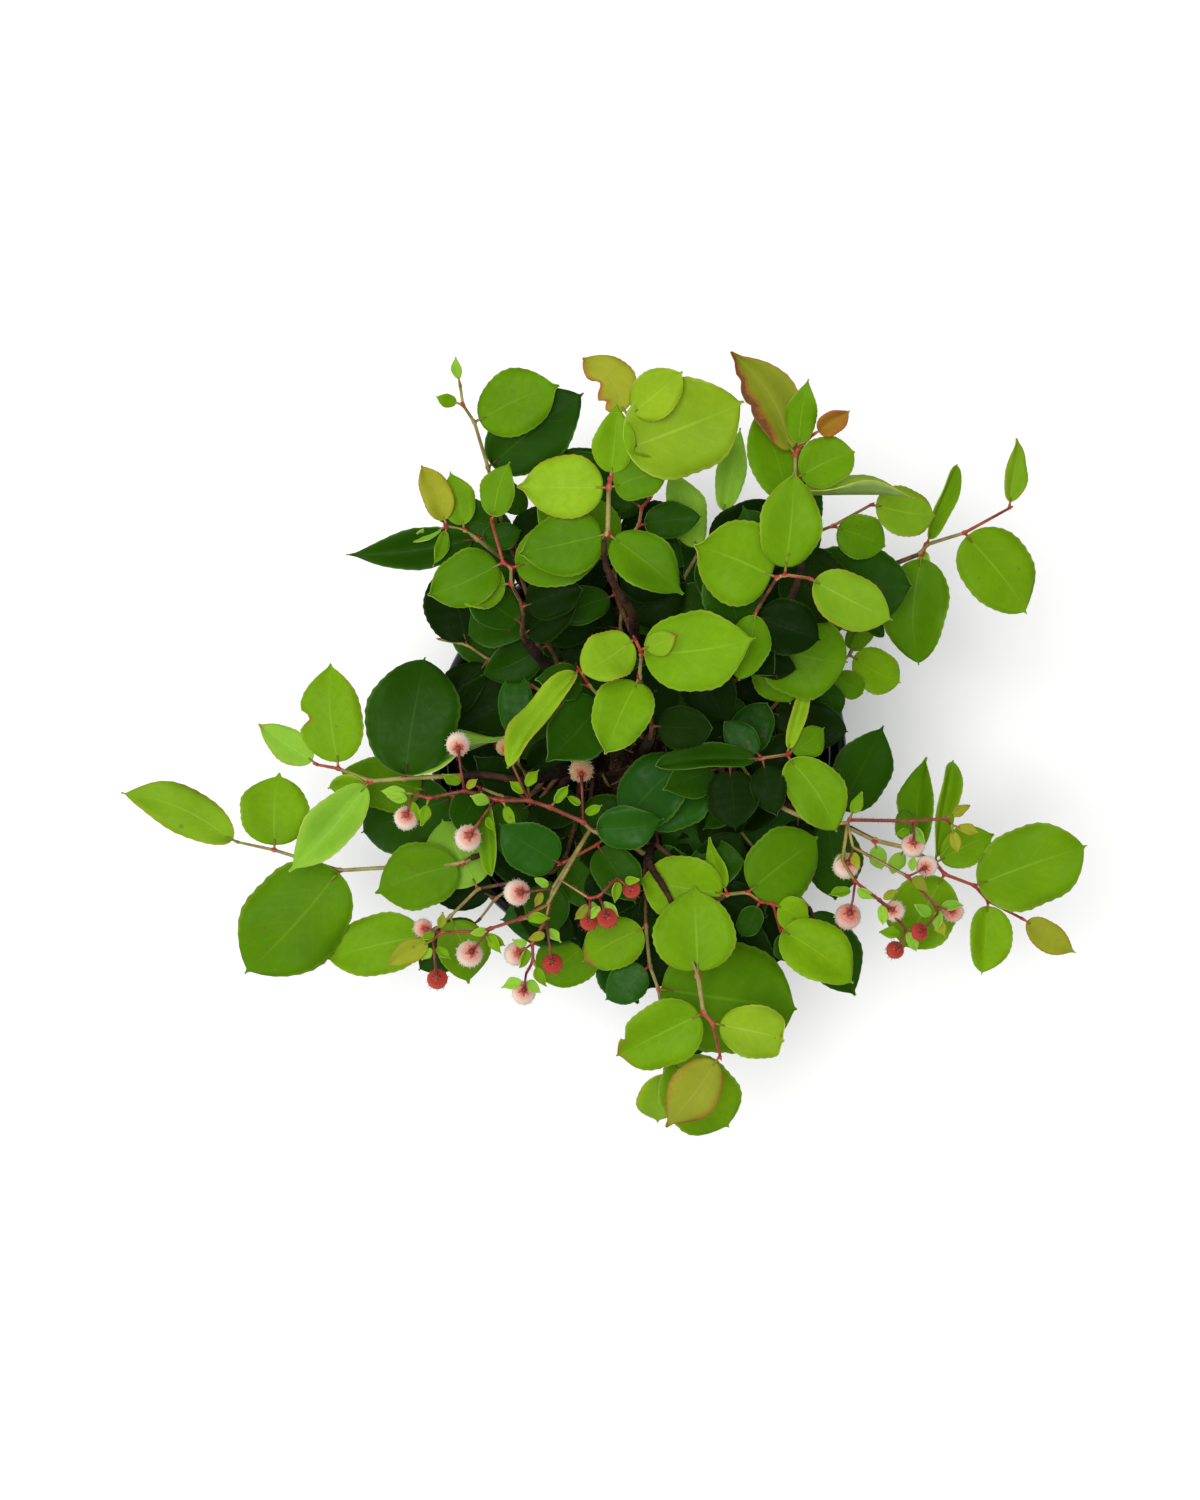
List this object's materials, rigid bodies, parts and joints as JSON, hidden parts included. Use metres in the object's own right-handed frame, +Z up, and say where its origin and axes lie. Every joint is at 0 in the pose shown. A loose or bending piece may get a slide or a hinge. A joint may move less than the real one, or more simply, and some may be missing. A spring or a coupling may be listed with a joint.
{
  "type": "potted sunrise salal",
  "caption": "Leafy evergreen salal with nodding urn flowers and red buds, growing from a bark-filled round nursery pot.",
  "frame": {"origin": "middle of the pot's flat underside", "axes": "+Z up, +X to the right and +Y to the back of the plant as the picture shows it from above"},
  "size_m": [0.3784, 0.2936, 0.2893],
  "materials": {
    "pot_plastic": "satin black moulded plastic with scuffs and dust",
    "bark_mix": "damp dark bark chips with paler straws",
    "woody_stem": "smooth red-brown bark, redder at the nodes",
    "foliage": "glossy evergreen leaf with paler veins",
    "blossom": "soft cream and pink petals, red hairy stalks"
  },
  "bodies": {
    "root": {"back_high": "foliage", "back_inner": "foliage", "back_left": "foliage", "back_left_low": "foliage", "back_left_mid": "foliage", "back_left_top": "foliage", "back_left_young": "foliage", "back_low": "foliage", "back_right_high": "foliage", "back_right_low": "foliage", "back_right_out": "foliage", "back_right_top": "foliage", "blossom_left": "blossom", "blossom_right": "blossom", "bough_back": "woody_stem", "bough_back_left": "woody_stem", "bough_back_right": "woody_stem", "bough_far_left": "woody_stem", "bough_front": "woody_stem", "bough_left": "woody_stem", "bough_right": "woody_stem", "bough_right_back": "woody_stem", "centre_back": "foliage", "centre_front": "foliage", "centre_left": "foliage", "centre_low": "foliage", "centre_right": "foliage", "centre_top": "foliage", "far_left": "foliage", "front": "foliage", "front_inner": "foliage", "front_left": "foliage", "front_low": "foliage", "front_right": "foliage", "left": "foliage", "left_inner": "foliage", "left_low": "foliage", "left_under": "foliage", "pot": "pot_plastic", "right": "foliage", "right_back": "foliage", "right_inner": "foliage", "right_low": "foliage", "right_mid": "foliage", "right_side": "foliage", "soil": "bark_mix", "stem_back": "woody_stem", "stem_back_left": "woody_stem", "stem_back_right": "woody_stem", "stem_centre": "woody_stem", "stem_front": "woody_stem", "stem_left": "woody_stem", "stem_right": "woody_stem", "under_back": "foliage", "under_back_left": "foliage", "under_back_right": "foliage", "under_front": "foliage", "under_front_right": "foliage", "under_left": "foliage"}
  },
  "joints": []
}
